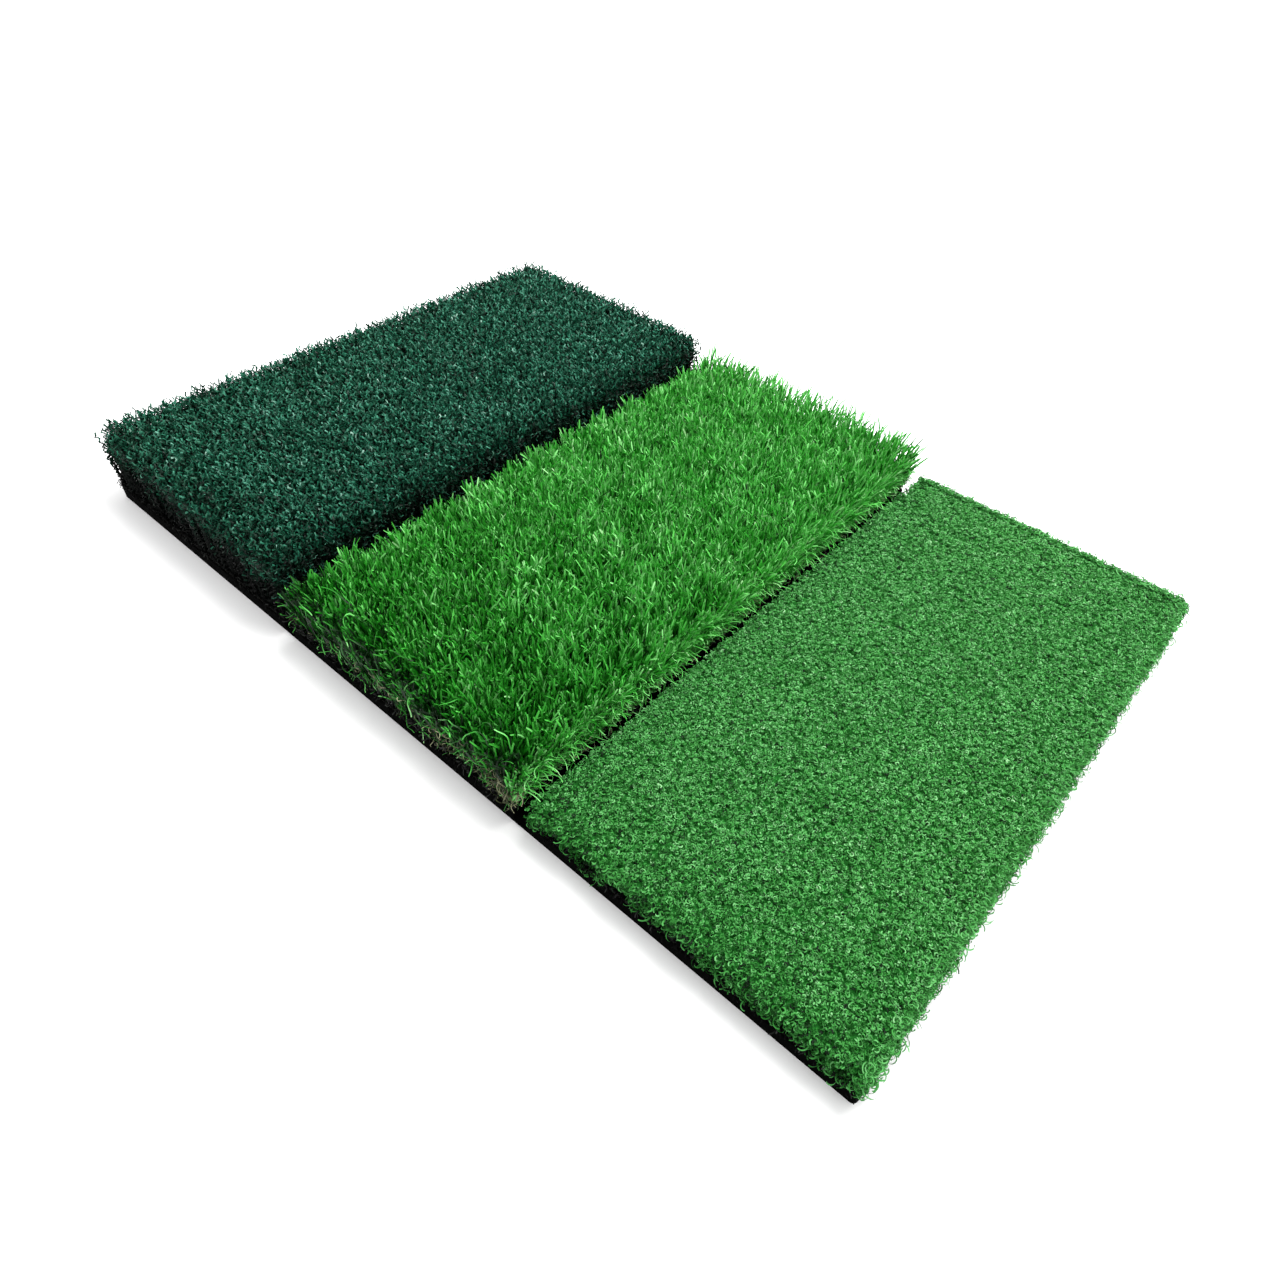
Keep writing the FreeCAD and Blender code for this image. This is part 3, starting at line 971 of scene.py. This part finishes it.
def make_rough_strays():
    """Lay loose blades and straw along the rough's edges, most of them at the fairway's seam."""
    rng = np.random.default_rng(37)
    strip = ROUGH
    long_blade = {"length": (14, 26), "curl": (0.1, 0.4), "width": (0.8, 1.1), "yarn": "rough_yarn"}
    thin_blade = {"length": (12, 24), "curl": (0.3, 1.0), "width": (0.4, 0.65), "yarn": "rough_yarn"}
    straw = {"length": (10, 22), "curl": (0.7, 1.8), "width": (0.4, 0.7), "yarn": "thatch_yarn"}
    astray = {"ahead": (-0.2, 0.6, 1.0), "rise": (0.1, 0.9), "sag": (0.8, 2.2)}
    # these reach over the gap and lie across the edge of the next turf
    arched = {"ahead": (0.5, 1.3, 0.4), "rise": (0.4, 0.9), "sag": (0.5, 1.4)}
    for name, number, axis, side, depth, lift, tone, kind, way in (
        ("stray_blades", 130, 1, -1, 20, (8, 34), 0.55, long_blade, astray),
        ("front_blades", 260, 1, -1, 3, (4, 26), 0.55, thin_blade, astray),
        ("front_straw", 260, 1, -1, 3, (5, 20), 0.68, straw, astray),
        ("seam_straw", 900, 0, 1, 2, (4, 18), 0.6, straw, astray),
        ("seam_blades", 500, 0, 1, 2, (4, 20), 0.6, long_blade, astray),
        ("seam_arches", 900, 0, 1, 2, (14, 26), 0.55, thin_blade, arched),
        ("tee_seam_blades", 220, 0, -1, 2, (6, 28), 0.6, thin_blade, astray),
    ):
        places = beside(rng, strip, number, axis, side, depth * MM)
        if name == "front_straw":
            # it gathers towards the fairway end
            width = strip.high[0] - strip.low[0]
            places[:, 0] = strip.high[0] - width * rng.uniform(0, 1, number) ** 3.2
        node = "rough_thatch" if kind is straw else "rough_blades"
        strands(
            rng,
            strip,
            f"rough_turf_{name}",
            places=places,
            root_z=strip.cloth_z + rng.uniform(*lift, number) * MM,
            ahead=outwards(rng, number, axis, side, *way["ahead"]),
            rise=rng.uniform(*way["rise"], number),
            sag=rng.uniform(*way["sag"], number),
            length=rng.uniform(*kind["length"], number) * MM,
            curl=rng.uniform(*kind["curl"], number),
            steps=12,
            width=kind["width"],
            shade=rng.normal(tone, 0.18, number),
            yarn=kind["yarn"],
            slot=kind["yarn"],
            nodes=[node],
        )


def make_fairway_turf():
    """Tuft the fairway turf: short stems that end in small level curls."""
    rng = np.random.default_rng(47)
    strip = FAIRWAY
    core = painted_shade_undergrowth("fairway_undergrowth", colour(14, 78, 16), colour(38, 116, 42))
    make_core(
        strip, "fairway_turf_core", inset=3 * MM, drop=2.6 * MM, lump=0.5 * MM,
        material=core, replaced=["fairway_pile"],
    )
    inner = fan_out(rng, tufts(rng, strip, 4.8 * MM, 3.0 * MM, 0.5 * MM), 9, 2.6 * MM)
    rim = fan_out(rng, tufts(rng, strip, 2.6 * MM, 2.6 * MM, 0.5 * MM), 4, 1.6 * MM)
    rim = rim[edge_of(rim, strip, 5 * MM, (1.0, 1.0, 1.0, 1.0)) > 0]
    places = keep_inside(np.concatenate([inner, rim]), strip, 0.4 * MM)
    on_rim = np.arange(len(places)) >= len(inner)
    count = len(places)
    steps = 5
    out = way_out(places, strip, 9 * MM, sides=(0.15, 0.5, 0.9, 1.5))
    edge = np.linalg.norm(out, axis=1)
    turn = rng.choice([-1.0, 1.0], count) * rng.uniform(0.9, 1.5, count)
    angle = turn[:, None] * np.arange(steps)[None, :] + rng.uniform(0, 2 * math.pi, (count, 1))
    dip = rng.normal(0, 0.35, (count, 1)) * np.sin(angle + rng.uniform(0, 2 * math.pi, (count, 1)))
    drift = level(out * 0.9 + rng.normal(0, 0.15, (count, 2)))
    directions = headings(angle) + dip[:, :, None] * UP + drift[:, None, :]
    # the first step is the stem, which stands up before the curl begins
    directions[:, 0] = UP * 1.2 + drift * 0.5
    paths = grow(places, strip.cloth_z, directions, rng.uniform(4.2, 6.0, count) * MM)
    top = strip.top_z + rng.normal(-0.5, 0.5, count) * MM - 2.0 * MM * np.clip(edge, 0, 1.2) ** 2
    depth = np.where(on_rim, rng.uniform(0, 1, count) ** 1.3 * 9, 0.0)
    long_sides = edge_of(places, strip, 5 * MM, (0.0, 0.0, 1.0, 1.0)) > 0
    # painted shade: darker the deeper a fibre ends in the long sides' rim, towards the low Y side and at its very
    # edge
    near = edge_of(places, strip, 60 * MM, (0.0, 0.0, 1.0, 0.0))
    shade = 0.46 + 0.015 * patches(rng, places, 30 * MM) + rng.normal(0, 0.2, count)
    lip = edge_of(places, strip, 10 * MM, (0.0, 0.0, 1.0, 0.0))
    shade = shade - 0.035 * depth * long_sides - 0.14 * near - 0.1 * lip
    place_turf(
        "fairway_turf",
        top_at(paths, top - depth * MM),
        widths=taper(rng, count, 0.6, 0.88, np.ones(steps + 1)),
        across=unit(rng.normal(0, 0.6, (count, 3)) + np.cross(unit(directions[:, 2]), UP)),
        cupping=0.3,
        shades=shade,
        material=MATERIALS["fairway_yarn"],
        strip=strip,
        replaced=["fairway_pile"],
    )


def make_fairway_fringe():
    """Hang loose yarn over the fairway's free sides: thick at high X and Y, uneven at low Y.
    """
    rng = np.random.default_rng(53)
    # painted shade: the front fringe takes a darker tone than the end and back fringes
    for name, strip, number, axis, side, tone, length, lift, ahead in (
        ("end", FAIRWAY_END, 8600, 0, 1, 0.45, (6, 12), (1, 14), (0.3, 0.9)),
        ("front", FAIRWAY, 1500, 1, -1, 0.3, (4, 10), (2, 10), (0.3, 0.9)),
        ("back", FAIRWAY, 4600, 1, 1, 0.46, (7, 15), (6, 14), (0.8, 1.9)),
    ):
        places = beside(rng, strip, number, axis, side, 1.5 * MM)
        uneven = 3.5 * patches(rng, places, 30 * MM) if name == "front" else 0.0
        pieces = strands(
            rng,
            strip,
            f"fairway_fringe_{name}",
            places=places,
            root_z=strip.cloth_z + (rng.uniform(*lift, number) - uneven) * MM,
            ahead=outwards(rng, number, axis, side, *ahead, 0.3),
            rise=rng.uniform(0.1, 0.7, number),
            sag=rng.uniform(0.6, 1.8, number),
            length=rng.uniform(*length, number) * MM,
            curl=rng.uniform(1.4, 2.8, number),
            steps=8,
            width=(0.6, 0.9),
            shade=rng.normal(tone, 0.16, number),
            yarn="fairway_yarn",
            slot="fairway_yarn",
            nodes=["fairway_pile"],
        )
        if name == "end":
            for piece in pieces:
                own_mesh(piece)


def make_fray():
    """Fray black tapes out of each turf's cloth, along the sides that no other turf is next to."""
    rng = np.random.default_rng(59)
    for turf, strip, sides in (
        ("tee", TEE, ((1, -1), (1, 1), (0, -1))),
        ("rough", ROUGH, ((1, -1), (1, 1))),
        ("fairway", FAIRWAY, ((1, -1), (1, 1), (0, 1))),
    ):
        for axis, side in sides:
            number = 420
            places = beside(rng, strip, number, axis, side, 1.0 * MM)
            strands(
                rng,
                strip,
                f"{turf}_cloth_fray_{'xy'[axis]}_{'high' if side > 0 else 'low'}",
                places=places,
                root_z=strip.cloth_z + rng.uniform(0, 3, number) * MM,
                ahead=outwards(rng, number, axis, side, 0.2, 0.8, 0.6),
                rise=rng.uniform(0.0, 1.0, number),
                sag=rng.uniform(0.4, 2.6, number),
                length=rng.uniform(3, 8, number) * MM,
                curl=rng.uniform(0.2, 1.2, number),
                steps=6,
                width=(0.5, 1.1),
                shade=rng.uniform(0, 1, number) ** 2,
                yarn="fray_yarn",
                slot="woven_cloth",
                nodes=[],
            )


# --------------------------------------
# The fold webs


def make_web(node, outer_body):
    """Make a rubber web: a thin strip with a row of fine ribs."""
    low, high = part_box(node)
    length = high.x - low.x
    cells = 24
    rows = 40
    ribs = 4
    rib_depth = 0.25 * MM
    x = np.linspace(low.x, high.x, cells + 1)
    wave = np.cos((x - low.x) / length * 2 * math.pi * ribs)
    top = high.z - rib_depth * (1 + wave) * ((x > low.x) & (x < high.x))
    y = np.linspace(low.y, high.y, rows + 1)
    section = [(px, pz) for px, pz in zip(x, top)] + [(px, low.z) for px in x[::-1]]
    points = [(px, py, pz) for py in y for px, pz in section]
    around = len(section)
    faces = []
    for row in range(rows):
        for k in range(around):
            after = (k + 1) % around
            below, above = row * around, (row + 1) * around
            faces.append([below + k, below + after, above + after, above + k])
    for row, reverse in ((0, True), (rows, False)):
        for k in range(cells):
            other = around - 1 - k
            end = [row * around + index for index in (k, k + 1, other - 1, other)]
            faces.append(end[::-1] if reverse else end)
    mesh = bpy.data.meshes.new(f"{node}_strip")
    mesh.from_pydata(points, [], faces)
    mesh.materials.append(MATERIALS["base_rubber"])
    piece = bpy.data.objects.new(f"{node}_strip", mesh)
    bpy.context.scene.collection.objects.link(piece)
    start, end = Vector((low.x, 0, 0)), Vector((high.x, 0, 0))
    if outer_body == "tee_panel":
        start, end = end, start
    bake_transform(piece)
    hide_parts(node)


# --------------------------------------
# Camera, floor and light


def make_camera():
    """Set the camera at the photograph's viewing angle, with its slight roll."""
    azimuth = math.radians(37.1)
    elevation = math.radians(43.9)
    roll = math.radians(4.4)
    target = Vector((68.1, -22.2, 0.0)) * MM
    distance = 613.9 * MM
    back = Vector((
        math.sin(azimuth) * math.cos(elevation),
        -math.cos(azimuth) * math.cos(elevation),
        math.sin(elevation),
    ))
    right = Vector((math.cos(azimuth), math.sin(azimuth), 0.0))
    up = back.cross(right)
    rolled_right = right * math.cos(roll) + up * math.sin(roll)
    rolled_up = up * math.cos(roll) - right * math.sin(roll)
    data = bpy.data.cameras.new("camera")
    data.sensor_width = 36.0
    data.lens = 25.87
    data.shift_x = -0.033
    data.shift_y = -0.016
    data.clip_start = 0.01
    camera = bpy.data.objects.new("camera", data)
    turn = Matrix((rolled_right, rolled_up, back)).transposed().to_4x4()
    camera.matrix_world = Matrix.Translation(target + back * distance) @ turn
    bpy.context.scene.collection.objects.link(camera)
    bpy.context.scene.camera = camera


def make_floor():
    """Lay a plain pale floor."""
    material, tree, shader = new_material("floor_paint")
    tone = noise(tree, 3.0)
    tree.links.new(ramp(tree, tone, [(0.0, grey(0.93)), (1.0, grey(0.96))]), shader.inputs["Base Color"])
    shader.inputs["Roughness"].default_value = 0.9
    shader.inputs["Specular IOR Level"].default_value = 0.1
    half = 6.0
    mesh = bpy.data.meshes.new("floor")
    corners = [(-half, -half, 0), (half, -half, 0), (half, half, 0), (-half, half, 0)]
    mesh.from_pydata(corners, [], [[0, 1, 2, 3]])
    mesh.materials.append(material)
    floor = bpy.data.objects.new("floor", mesh)
    floor.location.z = -0.2 * MM
    bpy.context.scene.collection.objects.link(floor)


def make_light(name, place, size, power):
    """Hang a square soft light that faces the mat."""
    data = bpy.data.lights.new(name, "AREA")
    data.size = size
    data.energy = power
    lamp = bpy.data.objects.new(name, data)
    lamp.location = place
    lamp.rotation_mode = "QUATERNION"
    lamp.rotation_quaternion = (-Vector(place)).to_track_quat("-Z", "Y")
    bpy.context.scene.collection.objects.link(lamp)


def make_lights():
    """A large soft key high up and behind, and a pale surround that is brightest overhead."""
    make_light("key", (0.2, 0.62, 1.12), 1.1, 30.0)
    world = bpy.data.worlds.new("studio")
    world.use_nodes = True
    tree = world.node_tree
    place = tree.nodes.new("ShaderNodeTexCoord")
    split = tree.nodes.new("ShaderNodeSeparateXYZ")
    tree.links.new(place.outputs["Generated"], split.inputs["Vector"])
    sky = ramp(tree, split.outputs["Z"], [(0.0, grey(0.4)), (0.35, grey(0.8)), (1.0, grey(1.7))])
    tree.links.new(sky, tree.nodes["Background"].inputs["Color"])
    bpy.context.scene.world = world
    bpy.context.scene.view_settings.view_transform = "Standard"


make_camera()
dress_cad_nodes()
make_tee_turf()
make_tee_curls()
make_rough_blades()
make_rough_thatch()
make_rough_strays()
make_fairway_turf()
make_fairway_fringe()
make_fray()
make_web("tee_fold_web", "tee_panel")
make_web("fairway_fold_web", "fairway_panel")
make_floor()
make_lights()
